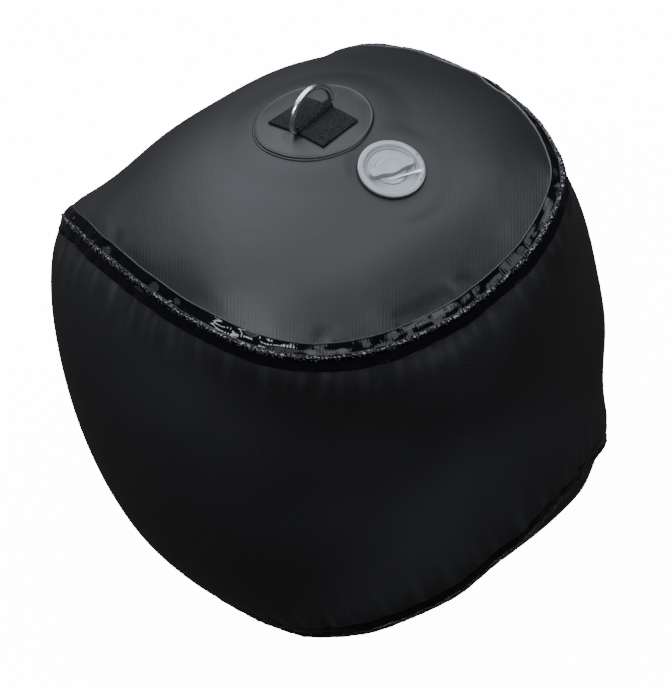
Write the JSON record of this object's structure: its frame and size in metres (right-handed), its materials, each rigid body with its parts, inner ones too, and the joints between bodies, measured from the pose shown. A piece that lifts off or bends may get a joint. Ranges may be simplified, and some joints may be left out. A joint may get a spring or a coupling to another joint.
{
  "type": "ball fender",
  "caption": "Inflatable ball fender of black coated fabric with a wavy taped seam, a steel D-ring on a round patch and a push-to-deflate air valve with a tethered cap.",
  "frame": {"origin": "middle of the D-ring's straight bar, on the bar's axis", "axes": "+Z out of the ball along the upright ring, +Y along the bar, +X towards the valve"},
  "size_m": [0.529, 0.554, 0.5941],
  "materials": {
    "coated_fabric": "satin coated fabric",
    "gloss_tape": "glossy",
    "patch_fabric": "satin coated fabric",
    "webbing": "matte woven",
    "stainless_steel": "polished",
    "grey_plastic": "satin moulded",
    "black_rubber": "matte",
    "pale_strap": "smooth moulded"
  },
  "bodies": {
    "fender": {"bladder": "coated_fabric", "seam_tape": "gloss_tape", "anchor_patch_lower": "patch_fabric", "anchor_patch_upper": "patch_fabric", "webbing_strap": "webbing", "valve_gasket": "black_rubber", "valve_body": "grey_plastic", "valve_base": "grey_plastic", "cap_tether": "pale_strap", "valve_spring": "stainless_steel"},
    "ring": {"d_ring": "stainless_steel"},
    "cap": {"valve_cap": "grey_plastic", "cap_seal": "black_rubber"},
    "plunger": {"valve_plunger": "grey_plastic", "plunger_button": "grey_plastic", "valve_diaphragm": "black_rubber"}
  },
  "joints": [
    {"name": "d_ring_swing", "type": "hinge", "parent": "fender", "child": "ring", "pos_m": [0, 0, 0], "axis": [0, 1, 0], "range_deg": [-85, 85]},
    {"name": "cap_turn", "type": "hinge", "parent": "fender", "child": "cap", "pos_m": [0.09196, 0.00017, -0.02607], "axis": [0.3711, -0.0589, 0.9267], "range_deg": [0, 90], "deforming": ["cap_tether"]},
    {"name": "plunger_press", "type": "slide", "parent": "fender", "child": "plunger", "axis": [0.3711, -0.0589, 0.9267], "range_m": [-0.004, 0], "stiffness_N_per_m": 600, "springref_m": 0.004, "deforming": ["valve_spring"]}
  ]
}
